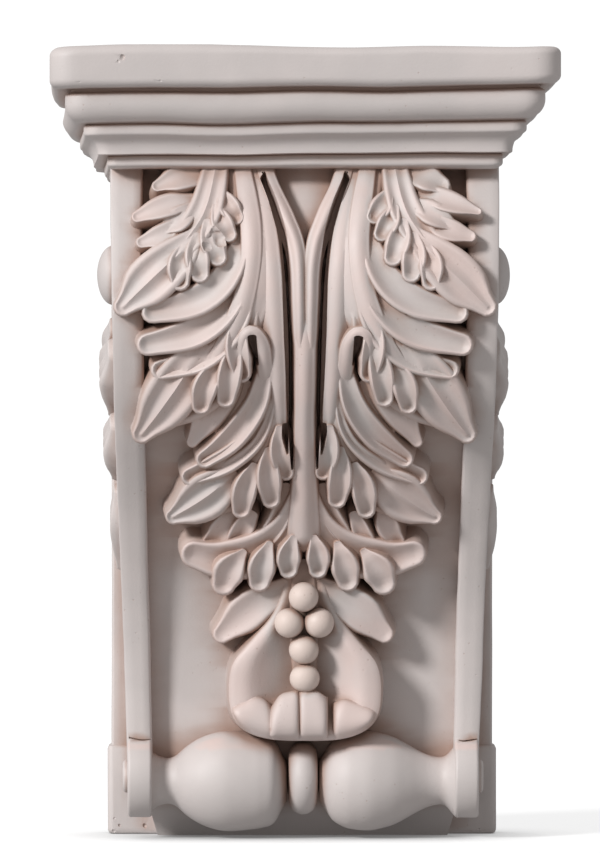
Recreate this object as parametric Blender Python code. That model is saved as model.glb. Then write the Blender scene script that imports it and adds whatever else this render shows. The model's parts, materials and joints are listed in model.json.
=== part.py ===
"""Acanthus corbel, cast in one piece.

The front faces -Y, the wall face lies on y = 0 with the origin at its middle. Lengths are in millimetres
until a mesh is finished, and heights are counted from the foot up.
"""
import math

import bmesh
import bpy
import numpy as np

# Driving dimensions, mm
BODY_HEIGHT = 339.0
BODY_HALF_WIDTH = 97.2
FOOT_HALF_WIDTH = 87.6
FACE_DEPTH = 168.0
RIM_WIDTH_TOP = 16.5
RIM_WIDTH_FOOT = 12.5
PANEL_RECESS = 11.0
PLATE_HALF_WIDTH = 98.0
PLATE_THICKNESS = 22.0
FOOT_BLOCK_HEIGHT = 45.0
FOOT_BLOCK_PROUD = 2.0

# Cap mouldings, from the body up: heights, and how far each stands out beyond the lowest fillet
CAP_HALF_WIDTH = 98.8
CAP_SETBACK = 6.0
FILLET_HEIGHT = 6.6
COVE_HEIGHT = 8.6
BAND_HEIGHT = 5.8
OVOLO_HEIGHT = 15.4
GROOVE_HEIGHT = 2.4
SLAB_HEIGHT = 22.2
COVE_OUT = 5.2
BAND_OUT = 11.7
OVOLO_OUT = 20.7
GROOVE_OUT = 18.4
SLAB_OUT = 28.3
CORNER_RADIUS = 5.0
EDGE_ROUND = 1.8

# Foot scrolls and the turned rollers between them
SCROLL_RADIUS = 21.0
SCROLL_WIDTH = 12.3
SCROLL_UP = 31.5
SCROLL_DEPTH = 66.0
BUTTON_RADIUS = 8.5
BUTTON_PROUD = 2.5
ROLLER_RADIUS = 25.4
ROLLER_UP = 29.2
NECK_RADIUS = 12.6
COLLAR_RADIUS = 18.7
COLLAR_HALF_WIDTH = 7.4
COLLAR_GAP = 0.9
CORE_TUCK = 22.0

# Carving
BERRY_RADIUS = 7.5
BOSS_RADIUS = 15.0
BOSS_PROUD = 8.0
BOSS_UP = 286.5
BOSS_DEPTH = 94.0
BOSS_FLAT = 1.0
ROOT_GRIP = 6.0
RIM_OVERHANG = 0.5
WALL_DRAFT = 3.4

# Fineness of the facets
TURNED_SIDES = 16
SPINE_PITCH = 25.0
FEWEST_SPINE_STEPS = 2
TIP_STEPS = 3
NARROW_TIP = 4.9
NARROW_TIP_STEPS = 2
SHELL_PITCH = 15.0
SHELL_TIP_STEPS = 10
SHELL_TIP_LENGTH = 0.78
ROOT_ROUND = 0.4
ACROSS_RINGS = (0.0, 0.8, 1.0)
WALL_RINGS = (1.0,)

MILLIMETRE = 0.001

CAP_DEPTH = FACE_DEPTH - CAP_SETBACK
CAP_HEIGHT = FILLET_HEIGHT + COVE_HEIGHT + BAND_HEIGHT + OVOLO_HEIGHT + GROOVE_HEIGHT + SLAB_HEIGHT
TOTAL_HEIGHT = BODY_HEIGHT + CAP_HEIGHT
# The ornament is drawn in units of its own, 97.2 to each side of the middle and 339 high, and stretched over
# the body
ACROSS_SCALE = BODY_HALF_WIDTH / 97.2
UP_SCALE = BODY_HEIGHT / 339
CARVING_SCALE = (ACROSS_SCALE + UP_SCALE) / 2
# Carved forms reach behind the sunk panel, also where the face leans
ROOT_DEPTH = 1.4 * PANEL_RECESS + ROOT_GRIP


def clear_scene():
    for obj in list(bpy.data.objects):
        bpy.data.objects.remove(obj, do_unlink=True)


def ease(values, t):
    """Smooth value at t, from 0 to 1, through a short list spread evenly."""
    values = np.asarray(values, float)
    place = np.clip(np.asarray(t, float), 0, 1) * (len(values) - 1)
    low = np.minimum(place.astype(int), len(values) - 2)
    part = place - low
    before = values[np.maximum(low - 1, 0)]
    start = values[low]
    end = values[low + 1]
    after = values[np.minimum(low + 2, len(values) - 1)]
    slope_start = (end - before) / 2
    slope_end = (after - start) / 2
    square = part * part
    cube = square * part
    return ((2 * cube - 3 * square + 1) * start + (cube - 2 * square + part) * slope_start
            + (3 * square - 2 * cube) * end + (cube - square) * slope_end)


def even_curve(points, steps):
    """Steps + 1 points, evenly spaced on a smooth curve through the given points."""
    points = np.asarray(points, float)
    fine = np.linspace(0, 1, 40 * len(points))
    route = np.stack([ease(points[:, k], fine) for k in (0, 1)], 1)
    run = np.concatenate([[0], np.cumsum(np.linalg.norm(np.diff(route, axis=0), axis=1))])
    wanted = np.linspace(0, run[-1], steps + 1)
    return np.stack([np.interp(wanted, run, route[:, k]) for k in (0, 1)], 1)


# Depth of the face, as shares of FACE_DEPTH, at even steps from the cap down to the foot
FACE_SHARES = (0.89, 0.965, 1.0, 0.99, 0.93, 0.83, 0.71, 0.605, 0.525, 0.475, 0.452, 0.445, 0.43, 0.41)


def face_depth(up):
    """How far the rims stand out from the wall at a height."""
    down = 1 - np.asarray(up, float) / BODY_HEIGHT
    return FACE_DEPTH * ease(FACE_SHARES, down)


def face_lean(up):
    """Rise of the face's outward normal for each unit outward, positive where it faces up."""
    step = 1.0
    return -(face_depth(up + step) - face_depth(up - step)) / (2 * step)


def half_width(up):
    """Half width of the body, which narrows towards the foot."""
    down = np.clip(1 - np.asarray(up, float) / BODY_HEIGHT, 0, 1)
    return BODY_HALF_WIDTH - (BODY_HALF_WIDTH - FOOT_HALF_WIDTH) * down ** 1.5


def rim_width(up):
    share = np.clip(np.asarray(up, float) / BODY_HEIGHT, 0, 1)
    return RIM_WIDTH_FOOT + (RIM_WIDTH_TOP - RIM_WIDTH_FOOT) * share


def on_face(across, up, crest, height):
    """Places a point on the front: where its crest shows from the front, at its own height above the rims."""
    lean = 0.75 * face_lean(up)
    outward = 1 / np.sqrt(1 + lean ** 2)
    rise = lean * outward
    foot = up - crest * rise
    edge = half_width(up) + np.where(np.asarray(height) > 0, RIM_OVERHANG, -RIM_OVERHANG)
    across = np.clip(across, -edge, edge)
    return np.stack([across, -(face_depth(foot) + height * outward), foot + height * rise], -1)


def on_side(side):
    """Places a point on one side of the body: depth from the wall, height, and how far it stands out."""
    def place(depth, up, crest, height):
        return np.stack([side * (half_width(up) + height), -depth, up], -1)
    return place


def mirrored(place, side):
    """The same place function for a drawing on the right (1) or the left (-1)."""
    def turned(across, up, crest, height):
        return place(side * across, up, crest, height)
    return turned


def wrap_rings(bm, rings, open_ends):
    """Skins closed rings of points. Ends that don't close on a line are filled with a face."""
    rings = np.asarray(rings)
    rows, columns, _ = rings.shape
    grid = bmesh.ops.create_grid(bm, x_segments=columns, y_segments=rows - 1, size=0.5)["verts"]
    for vert in grid:
        column = round((vert.co.x + 0.5) * columns) % columns
        row = round((vert.co.y + 0.5) * (rows - 1))
        vert.co = rings[row, column]
    bmesh.ops.remove_doubles(bm, verts=grid, dist=1e-4)
    if open_ends:
        edges = [edge for edge in bm.edges if edge.is_boundary]
        bmesh.ops.holes_fill(bm, edges=edges, sides=0)


def lobe_rings(points, widths, heights, place, flute, root=ROOT_DEPTH, draft=WALL_DRAFT, pitch=SPINE_PITCH,
               tip_steps=None, tip_length=1.0):
    """A leaf lobe: a long tongue along a smooth spine, hollowed or ridged across, with walls down to its root.

    Points, widths and heights are drawing units; flute is how deep the channel is, negative for a ridge. The tip
    is round, or flatter with a tip length under 1.
    """
    spine = even_curve(points, 40) * (ACROSS_SCALE, UP_SCALE)
    total = np.linalg.norm(np.diff(spine, axis=0), axis=1).sum()
    steps = max(FEWEST_SPINE_STEPS, round(total / pitch))
    widths = np.asarray(widths, float) * CARVING_SCALE
    stop = max(0.3, 1 - widths[-1] * tip_length / total)
    share = np.linspace(0, 1, steps + 1)
    fine = np.linspace(0, 1, len(spine))

    def at(t):
        return np.stack([np.interp(t, fine, spine[:, k]) for k in (0, 1)], -1)

    heading = at(np.clip(share * stop + 0.02, 0, 1)) - at(np.clip(share * stop - 0.02, 0, 1))
    heading /= np.linalg.norm(heading, axis=1)[:, None]
    normal = np.stack([-heading[:, 1], heading[:, 0]], 1)
    middle = at(share * stop)
    width = ease(widths, share)
    centres, offsets, shares = [], [], []
    for k in range(steps + 1):
        centres.append(middle[k])
        offsets.append(normal[k] * width[k])
        shares.append(share[k])
    if tip_steps is None:
        tip_steps = TIP_STEPS if widths[-1] > NARROW_TIP * CARVING_SCALE else NARROW_TIP_STEPS
    for angle in np.linspace(math.pi / 2, -math.pi / 2, tip_steps + 1)[1:-1]:
        forward = heading[-1] * widths[-1] * tip_length * math.cos(angle)
        centres.append(middle[-1])
        offsets.append(normal[-1] * width[-1] * math.sin(angle) + forward)
        shares.append(1.0)
    for k in reversed(range(steps + 1)):
        centres.append(middle[k])
        offsets.append(-normal[k] * width[k])
        shares.append(share[k])
    centres.append(middle[0])
    offsets.append(-heading[0] * width[0] * ROOT_ROUND)
    shares.append(0.0)
    centres, offsets, shares = np.array(centres), np.array(offsets), np.array(shares)
    crest = ease(heights, shares) * CARVING_SCALE
    depth = flute * CARVING_SCALE * np.clip(ease(widths, shares) / max(widths), 0.2, 1)
    rim_at = ACROSS_RINGS[-2]
    edge_drop = 0.6 * CARVING_SCALE

    def level(reach):
        hollow = (1 - min(reach / rim_at, 1) ** 2) ** 1.5
        return crest - depth * hollow - edge_drop * max(0, (reach - rim_at) / (1 - rim_at))

    rings = []
    for reach in ACROSS_RINGS:
        flat = centres + offsets * reach
        height = level(reach)
        rings.append(place(flat[:, 0], flat[:, 1], height, height))
    top = level(1.0)
    edge = centres + offsets
    outward = offsets / (np.linalg.norm(offsets, axis=1)[:, None] + 1e-9)
    for down in WALL_RINGS:
        flat = edge + outward * draft * math.sin(down * math.pi / 2)
        rings.append(place(flat[:, 0], flat[:, 1], top, top * (1 - down) - root * down))
    rings.append(place(centres[:, 0], centres[:, 1], top, np.full(len(top), -root)))
    return rings


def section_ring(half, back, front, up, corner):
    """A rectangle seen from above, with its two front corners rounded."""
    points = [(-half, -back)]
    for side in (-1, 1):
        angles = np.linspace(0, math.pi / 2, 3) if side < 0 else np.linspace(math.pi / 2, 0, 3)
        for angle in angles:
            across = side * (half - corner + corner * math.cos(angle))
            points.append((across, -(front - corner + corner * math.sin(angle))))
    points.append((half, -back))
    return [(across, y, up) for across, y in points]


def cap_profile():
    """Heights and outsets of the mouldings, from the body up."""
    up = BODY_HEIGHT
    levels = [(up, -3.8), (up + 2, -1.2), (up + 4, 0), (up + FILLET_HEIGHT, 0)]
    up += FILLET_HEIGHT
    for angle in np.linspace(0, math.pi / 2, 4):
        rise = COVE_HEIGHT * (0.06 + 0.94 * math.sin(angle))
        levels.append((up + rise, COVE_OUT + (BAND_OUT - COVE_OUT - 0.6) * (1 - math.cos(angle))))
    up += COVE_HEIGHT
    levels += [(up + 0.3, BAND_OUT), (up + BAND_HEIGHT - 0.4, BAND_OUT)]
    up += BAND_HEIGHT
    round_height = 0.6 * OVOLO_HEIGHT
    for angle in np.linspace(0, math.pi / 2, 4):
        outset = BAND_OUT + 1.8 + (OVOLO_OUT - BAND_OUT - 1.8) * math.sin(angle)
        levels.append((up + round_height * (1 - math.cos(angle)), outset))
    up += OVOLO_HEIGHT
    levels += [(up - EDGE_ROUND, OVOLO_OUT), (up, OVOLO_OUT - 1.0), (up + 0.4, GROOVE_OUT)]
    up += GROOVE_HEIGHT
    levels += [(up - 0.5, GROOVE_OUT), (up, SLAB_OUT - 1.2), (up + EDGE_ROUND, SLAB_OUT)]
    up += SLAB_HEIGHT
    levels += [(up - EDGE_ROUND, SLAB_OUT), (up - 0.5, SLAB_OUT - 0.8), (up, SLAB_OUT - EDGE_ROUND - 0.8)]
    return levels


def plate_and_cap():
    """Back plate with its foot block, and the moulded cap, as one stack of sections."""
    foot = PLATE_HALF_WIDTH + FOOT_BLOCK_PROUD
    foot_front = PLATE_THICKNESS + FOOT_BLOCK_PROUD
    rings = [section_ring(foot, 0, foot_front, 0, 1.0),
             section_ring(foot, 0, foot_front, FOOT_BLOCK_HEIGHT, 1.0),
             section_ring(PLATE_HALF_WIDTH, 0, PLATE_THICKNESS, FOOT_BLOCK_HEIGHT + 1.0, 1.0),
             section_ring(PLATE_HALF_WIDTH, 0, PLATE_THICKNESS, BODY_HEIGHT, 1.0)]
    for up, outset in cap_profile():
        rings.append(section_ring(CAP_HALF_WIDTH + outset, 0, CAP_DEPTH + outset, up + 0.01, CORNER_RADIUS))
    return rings


def block_rings(inner, outer, front, low, high, steps):
    """A four-sided block that follows the body: inner, outer and front are functions of height."""
    rings = []
    for up in np.linspace(low, high, steps + 1):
        left, right, depth = inner(up), outer(up), front(up)
        rings.append([(left, -2, up), (left, -depth, up), (right, -depth, up), (right, -2, up)])
    return rings


def core():
    """The body behind the sunk panel. Below the rollers' axis it draws back under them."""
    def edge(up):
        return half_width(up) - rim_width(up) / 2

    def front(up):
        tucked = CORE_TUCK * max(0.0, 1 - up / ROLLER_UP)
        return face_depth(up) - PANEL_RECESS - tucked
    return block_rings(lambda up: -edge(up), edge, front, 0, BODY_HEIGHT + FILLET_HEIGHT, 16)


def rim(side):
    def inner(up):
        return side * (half_width(up) - rim_width(up))

    def outer(up):
        return side * half_width(up)
    return block_rings(inner, outer, face_depth, SCROLL_UP, BODY_HEIGHT + FILLET_HEIGHT, 16)


def turned(profile, up, depth, sides=TURNED_SIDES):
    """Rings of a form turned on an axis along X, from pairs of place and radius."""
    angles = np.linspace(0, 2 * math.pi, sides, endpoint=False)
    return [[(across, -(depth + radius * math.cos(a)), up + radius * math.sin(a)) for a in angles]
            for across, radius in profile]


def scroll_end(side):
    outer = half_width(SCROLL_UP) + 0.4
    inner = outer - SCROLL_WIDTH
    profile = [(inner, SCROLL_RADIUS - 1.5), (inner + 1.2, SCROLL_RADIUS), (outer - 1.2, SCROLL_RADIUS),
               (outer, SCROLL_RADIUS - 1.5)]
    return turned([(side * across, radius) for across, radius in profile], SCROLL_UP, SCROLL_DEPTH, 20)


def button(side):
    outer = half_width(SCROLL_UP) + 0.4
    profile = [(outer - 3, BUTTON_RADIUS), (outer + BUTTON_PROUD - 1, BUTTON_RADIUS),
               (outer + BUTTON_PROUD, BUTTON_RADIUS - 1.6)]
    return turned([(side * across, radius) for across, radius in profile], SCROLL_UP, SCROLL_DEPTH, 12)


# Radii along each roller, left and right, as shares of ROLLER_RADIUS, from the collar out to the scroll end
BULB_SHARES = {-1: (0.4, 0.83, 0.94, 0.98, 1.0, 1.0, 0.95, 0.85, 0.69, 0.5, 0.49, 0.62),
               1: (0.42, 0.78, 0.94, 0.99, 1.0, 0.95, 0.87, 0.74, 0.6, 0.5, 0.5, 0.75)}


def roller(side):
    """Turned bulb with a slim neck that flares into the scroll end."""
    inner = COLLAR_HALF_WIDTH + COLLAR_GAP
    outer = half_width(SCROLL_UP) - SCROLL_WIDTH + 2
    shares = np.linspace(0, 1, 10)
    bulb = ease(BULB_SHARES[side], shares)
    bulb = np.maximum(bulb, NECK_RADIUS / ROLLER_RADIUS * (shares > 0.5))
    return turned([(side * (inner + (outer - inner) * t), ROLLER_RADIUS * r) for t, r in zip(shares, bulb)],
                  ROLLER_UP, SCROLL_DEPTH)


def collar():
    angles = np.linspace(0, math.pi, 7)
    bead = COLLAR_HALF_WIDTH
    profile = [(-bead * math.cos(a), COLLAR_RADIUS - bead * (1 - math.sin(a))) for a in angles]
    return turned(profile, SCROLL_UP - 0.7, SCROLL_DEPTH)


def dome(side):
    """Eye of the large side scroll."""
    angles = np.linspace(0, math.pi / 2, 5)[:-1]
    start = half_width(BOSS_UP)
    profile = [(start - ROOT_GRIP / 2, BOSS_RADIUS)]
    profile += [(start + BOSS_PROUD * math.sin(a), BOSS_RADIUS * math.cos(a)) for a in angles]
    profile.append((start + BOSS_PROUD, BOSS_FLAT))
    return turned([(side * across, radius) for across, radius in profile], BOSS_UP, BOSS_DEPTH, 14)


# Leaves, drawn for the right half. Each lobe: points from root to tip, half widths, heights above the rims,
# and flute depth. The upper leaf lies over the long one, and that over the lower ones.
UPPER_LEAF = (
    (((48, 336), (62, 334), (77, 328)), (4, 6, 5), (7, 10, 9), 1.6),
    (((50, 330), (68, 322), (87, 315)), (4, 7, 5.5), (8, 10, 9), 1.8),
    (((54, 318), (69, 308), (86, 302)), (4, 6, 5), (9, 10, 9), 1.8),
    (((41, 337), (48, 309), (66, 289), (93, 267)), (6, 8, 11.5, 7), (9, 13, 13, 9), 2.6),
    (((56, 300), (59, 290), (61, 279)), (4, 4.6, 4.4), (11, 13, 12), 2.4),
    (((51, 305), (51, 294), (50, 283)), (4, 4.6, 4.4), (11, 13, 12), 2.4),
    (((47, 312), (43, 301), (40, 292)), (4, 4.6, 4.2), (11, 13, 12), 2.4),
    (((44, 321), (39, 311), (35, 303)), (4, 4.6, 4.2), (10, 12, 11), 1.4),
    (((41, 333), (38, 321), (31, 312)), (4, 5, 4.2), (9, 12, 11), 2.0),
)
LONG_LEAF = (
    (((29, 340), (24, 300), (32, 262), (46, 236)), (11, 10, 12, 8), (4, 5, 6, 6), -2.0),
    (((31, 308), (40, 284), (56, 270), (80, 264)), (3, 5, 6, 5), (7, 8, 9, 8), 2.0),
    (((28, 302), (37, 273), (55, 256), (84, 247)), (3, 5.5, 6.5, 5.5), (7, 8, 9, 8), 2.2),
    (((26, 292), (36, 261), (53, 245), (79, 237)), (3, 5, 6, 5), (7, 8, 9, 8), 2.2),
    (((26, 286), (36, 250), (54, 226), (86, 202)), (4, 8, 13.5, 7), (7, 9, 10, 8), 2.8),
    (((35, 246), (44, 231), (52, 216)), (4, 5.2, 4.8), (8, 11, 10), 2.4),
    (((28, 250), (34, 236), (40, 218)), (3.5, 5.2, 4.8), (8, 11, 10), 2.4),
    (((21, 262), (22, 246), (30, 231)), (3, 4.6, 4.2), (7, 10, 10), 2.2),
    (((34, 240), (47, 218), (58, 199)), (6, 9, 7), (3, 5, 4), 1.5),
)
LOWER_LEAF = (
    (((18, 338), (13.5, 290), (12.5, 240), (14, 200)), (4, 4, 5, 6), (3, 4, 4, 5), -1.5),
    (((20, 232), (33, 214), (53, 200)), (3, 4.6, 4), (4, 6, 5), 1.8),
    (((19, 225), (34, 204), (55, 190)), (3, 5, 4.6), (5, 6, 5), 2.0),
    (((18, 216), (37, 193), (62, 182)), (3, 5.6, 4.8), (5, 7, 5), 2.0),
    (((14, 212), (24, 188), (43, 172), (70, 161)), (4, 6, 10.5, 7), (5, 7, 8, 5), 2.6),
    (((19, 190), (26, 176), (31, 161)), (3.5, 5.2, 4.8), (6, 8, 8), 2.4),
    (((14, 197), (14, 182), (17, 168)), (3.2, 5, 4.4), (6, 8, 8), 2.2),
    (((10.5, 210), (8.5, 196), (9, 182)), (2.6, 4.2, 4), (5, 8, 8), 2.0),
)
UNDER_LEAF = (
    (((24, 172), (36, 160), (46, 150)), (5, 6, 5), (0, 2, 3), 1.2),
    (((16, 172), (27, 158), (36, 146)), (5, 6, 5), (0, 2, 3), 1.2),
    (((10, 172), (19, 157), (26, 146)), (5, 5.5, 5), (0, 2, 3), 1.2),
)
END_LEAF = (
    (((2, 186), (9, 156), (30, 142), (61, 152)), (4, 7, 9, 6.5), (5, 6, 7, 5), 1.6),
    (((22, 144), (36, 136), (46, 124)), (4, 6, 5.2), (5, 7, 7), 2.0),
    (((12, 149), (20, 138), (25, 124)), (4, 5.2, 4.8), (5, 8, 8), 2.2),
    (((4, 154), (7, 143), (10, 131)), (3, 4.6, 4.2), (6, 9, 9), 1.8),
    (((10, 124), (28, 115), (46, 103)), (6, 8.5, 6), (1, 4, 5), 1.4),
)
# Stem, its two branches and the plain strip between them
STEM = (
    (((20, 343), (15, 328), (6, 308), (2.2, 276)), (4.4, 4.4, 4, 3), (7, 8, 8.4, 8), -1.6),
)
CENTRE = (
    (((0, 300), (0, 250), (0, 200), (0, 156)), (4.4, 5.4, 5.2, 7), (6, 8, 8, 7), -2.0),
    (((0, 342), (0, 325), (0, 308), (0, 290)), (19, 12, 6, 2), (-3, -3, -3, -2), -1.0),
)
# Ridge that the berries sit on, and the middle of each berry: across, up and above the rims
BERRY_BED = (((0.2, 140), (0.2, 124), (0.4, 104), (0.8, 80)), (6, 7, 8, 6), (3, 7, 7, 7), -1.0)
BERRIES = ((0.2, 123.5, 12.5), (-7, 110.4, 13.5), (8, 110.4, 13.5), (0.3, 97, 14), (0.8, 82.5, 14))
# Open shell, from its throat under the leaves down to its lower edge
SHELL = (((0.7, 136), (0.7, 108), (0.7, 78), (0.7, 49)), (11, 13, 19, 29, 37, 39.3), (3, 6, 10, 14, 16.5, 17), 13.0)
# Curled tongues along the lower lip of the shell
LIP = (
    (((-1, 49), (-1, 63), (-1, 78)), (15, 16, 12), (10, 21, 20), -2.6),
    (((-21, 52), (-25, 63), (-26, 75)), (9, 10, 7), (9, 20, 18), -2.4),
    (((22, 52), (25.5, 62), (26, 73)), (9, 11, 8), (9, 20, 18), -2.4),
)
# Leaf on each side, below the large scroll: depths from the wall and heights
SIDE_LEAF = (
    (((118, 248), (105, 238), (88, 216)), (7, 11, 7), (3, 7.5, 4), 1.8),
    (((112, 212), (100, 200), (86, 184)), (6, 9, 6), (3, 6.5, 3), 1.6),
    (((102, 260), (86, 248), (64, 236)), (6, 8, 6), (2, 6, 3), 1.5),
    (((100, 178), (90, 160), (74, 138)), (5, 8, 5), (2, 4.5, 2), 1.2),
)


def shell_rings():
    """Open bowl of the shell, wide at its flattened lower edge and narrow at its throat."""
    points, widths, heights, flute = SHELL
    return lobe_rings(points, widths, heights, on_face, flute, pitch=SHELL_PITCH, tip_steps=SHELL_TIP_STEPS,
                      tip_length=SHELL_TIP_LENGTH)


def berry(across, up, height):
    rings = []
    sides = 8
    centre = on_face(np.array(across * ACROSS_SCALE), np.array(up * UP_SCALE), np.array(height), np.array(height))
    around = np.linspace(0, 2 * math.pi, sides, endpoint=False)
    for tilt in np.linspace(-math.pi / 2, math.pi / 2, 6):
        ring = [centre + BERRY_RADIUS * np.array((math.cos(tilt) * math.cos(a), math.sin(tilt),
                                                  math.cos(tilt) * math.sin(a))) for a in around]
        rings.append(ring)
    return rings


def make_solid(name, rings, collection, open_ends=False):
    bm = bmesh.new()
    wrap_rings(bm, rings, open_ends)
    bmesh.ops.recalc_face_normals(bm, faces=bm.faces)
    bmesh.ops.translate(bm, verts=bm.verts, vec=(0, 0, -TOTAL_HEIGHT / 2))
    bmesh.ops.scale(bm, verts=bm.verts, vec=(MILLIMETRE,) * 3)
    mesh = bpy.data.meshes.new(name)
    bm.to_mesh(mesh)
    bm.free()
    obj = bpy.data.objects.new(name, mesh)
    collection.objects.link(obj)
    return obj


def keep_modifiers(obj):
    """Makes the shape that the modifiers give the object's own mesh."""
    evaluated = obj.evaluated_get(bpy.context.evaluated_depsgraph_get())
    shaped = bpy.data.meshes.new_from_object(evaluated)
    obj.modifiers.clear()
    obj.data = shaped


def connected_skins(bm):
    """The closed skins of a mesh, each as a list of its points."""
    loose = set(bm.verts)
    skins = []
    while loose:
        front = [loose.pop()]
        skin = list(front)
        while front:
            vert = front.pop()
            for edge in vert.link_edges:
                other = edge.other_vert(vert)
                if other in loose:
                    loose.remove(other)
                    front.append(other)
                    skin.append(other)
        skins.append(skin)
    return skins


def enclosed_volume(skin):
    """Positive for an outer skin, negative for one that faces into a hollow."""
    volume = 0.0
    for face in {face for vert in skin for face in vert.link_faces}:
        corners = [vert.co for vert in face.verts]
        for second, third in zip(corners[1:-1], corners[2:]):
            volume += corners[0].dot(second.cross(third)) / 6
    return volume


def fill_pockets(mesh):
    """Removes the skins of small hollows shut in between the fused forms."""
    bm = bmesh.new()
    bm.from_mesh(mesh)
    skins = connected_skins(bm)
    pockets = [skin for skin in skins if enclosed_volume(skin) < 0]
    bmesh.ops.delete(bm, geom=[vert for skin in pockets for vert in skin], context="VERTS")
    bm.to_mesh(mesh)
    bm.free()
    print("hollows filled:", len(pockets), "outer skins:", len(skins) - len(pockets))


def plaster():
    material = bpy.data.materials.new("plaster")
    material.use_nodes = True
    shader = material.node_tree.nodes["Principled BSDF"]
    shader.inputs["Base Color"].default_value = (0.53, 0.46, 0.44, 1.0)
    shader.inputs["Roughness"].default_value = 0.62
    shader.inputs["Metallic"].default_value = 0.0
    return material


def build():
    clear_scene()
    scene = bpy.context.scene
    fused = bpy.data.collections.new("fused forms")
    scene.collection.children.link(fused)
    corbel = make_solid("corbel", plate_and_cap(), scene.collection, open_ends=True)
    make_solid("core", core(), fused, open_ends=True)
    make_solid("collar", collar(), fused, open_ends=True)
    make_solid("shell", shell_rings(), fused)
    for number, spot in enumerate(BERRIES):
        make_solid(f"berry {number}", berry(*spot), fused)
    for number, (points, widths, heights, flute) in enumerate(CENTRE + LIP + (BERRY_BED,)):
        make_solid(f"centre {number}", lobe_rings(points, widths, heights, on_face, flute), fused)
    leaves = UPPER_LEAF + LONG_LEAF + LOWER_LEAF + UNDER_LEAF + END_LEAF + STEM
    for side in (-1, 1):
        for form in (rim, scroll_end, button, roller, dome):
            make_solid(f"{form.__name__} {side}", form(side), fused, open_ends=True)
        for number, (points, widths, heights, flute) in enumerate(leaves):
            rings = lobe_rings(points, widths, heights, mirrored(on_face, side), flute)
            make_solid(f"lobe {number} {side}", rings, fused)
        for number, (points, widths, heights, flute) in enumerate(SIDE_LEAF):
            rings = lobe_rings(points, widths, heights, on_side(side), flute, root=3.0, draft=1.5)
            make_solid(f"side lobe {number} {side}", rings, fused)
    union = corbel.modifiers.new("Fuse", "BOOLEAN")
    union.operation = "UNION"
    union.operand_type = "COLLECTION"
    union.collection = fused
    union.solver = "MANIFOLD"
    keep_modifiers(corbel)
    fill_pockets(corbel.data)
    for obj in list(fused.objects):
        bpy.data.objects.remove(obj, do_unlink=True)
    corbel.data.set_sharp_from_angle(angle=math.radians(35))
    corbel.data.materials.append(plaster())
    return corbel


build()
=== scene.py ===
# %% [markdown]
# # A cast plaster corbel
#
# A corbel is a bracket that is fixed to a wall and carries a shelf, a beam or a cornice. This one is
# cast in one piece: a moulded cap, an S-curved body with a raised rim on each side, acanthus leaves that
# fall from the cap, a stem with berries, a shell, and turned rollers between two small scrolls.
#
# The lesson follows the order in which a carver would think. First come the curves that every part obeys,
# then the plain masses, then the leaves, and last the wear, the plaster, the light and the camera.

# %% Start
import json
import math

import bmesh
import bpy
import numpy as np
from mathutils import Matrix, Vector, noise
from mathutils.bvhtree import BVHTree

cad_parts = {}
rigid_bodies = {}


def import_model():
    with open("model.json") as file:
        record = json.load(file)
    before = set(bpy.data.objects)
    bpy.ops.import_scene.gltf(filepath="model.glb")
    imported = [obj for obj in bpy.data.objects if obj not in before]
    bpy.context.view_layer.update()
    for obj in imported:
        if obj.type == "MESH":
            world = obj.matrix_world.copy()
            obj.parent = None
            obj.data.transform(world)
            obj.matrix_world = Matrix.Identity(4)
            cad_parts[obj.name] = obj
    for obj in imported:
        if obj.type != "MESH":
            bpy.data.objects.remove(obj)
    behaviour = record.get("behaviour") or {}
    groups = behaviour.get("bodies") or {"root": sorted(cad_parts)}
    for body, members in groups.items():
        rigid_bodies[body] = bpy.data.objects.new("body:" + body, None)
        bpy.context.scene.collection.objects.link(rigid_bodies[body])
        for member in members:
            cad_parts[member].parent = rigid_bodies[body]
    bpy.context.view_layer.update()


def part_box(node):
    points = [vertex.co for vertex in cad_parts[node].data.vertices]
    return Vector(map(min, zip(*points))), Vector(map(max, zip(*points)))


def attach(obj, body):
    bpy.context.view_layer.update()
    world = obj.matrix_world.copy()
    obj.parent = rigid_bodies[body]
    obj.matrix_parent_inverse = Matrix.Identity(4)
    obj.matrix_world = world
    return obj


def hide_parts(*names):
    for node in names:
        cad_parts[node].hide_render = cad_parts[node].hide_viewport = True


# Blender's vector noise, which roughens chips and edges, starts from the clock unless it is given a seed.
NOISE_SEED = 7
noise.seed_set(NOISE_SEED)
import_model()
low_corner, high_corner = (np.array(corner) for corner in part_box("corbel"))
print("solid from", np.round(low_corner, 4), "to", np.round(high_corner, 4))

# %% [markdown]
# ## Sizes
#
# A corbel is drawn in millimetres from the foot up, because that is how mouldings are measured on a drawing.
# Blender works in metres, so each finished form is scaled once, at the end, and moved down by half the
# height: the origin is the middle of the back face.

# %% Sizes of the body and the cap
MILLIMETRE = 0.001
BODY_HEIGHT = 339.0
BODY_HALF_WIDTH = 97.2
FOOT_HALF_WIDTH = 87.6
FACE_DEPTH = 168.0
RIM_WIDTH_TOP = 16.5
RIM_WIDTH_FOOT = 12.5
PANEL_RECESS = 11.0
CAP_HALF_WIDTH = 98.8
CAP_DEPTH = 162.0
CAP_HEIGHT = 61.0
PLATE_DEPTH = 22.0
PLATE_HALF_WIDTH = 98.0
FOOT_HEIGHT = 46.0
FOOT_STEP = 2.0
TOTAL_HEIGHT = BODY_HEIGHT + CAP_HEIGHT
ROOT_DEPTH = 21.0
print("total height", TOTAL_HEIGHT, "mm")

# %% [markdown]
# ## Smooth curves from a few numbers
#
# A carver's curve has no corners. A short list of values, spread evenly, becomes a smooth curve when each
# stretch is a cubic that leaves and arrives along its neighbours' direction. The same helper gives the side
# profile of the body, the spine of a leaf lobe and the width of that lobe along its spine.

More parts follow.
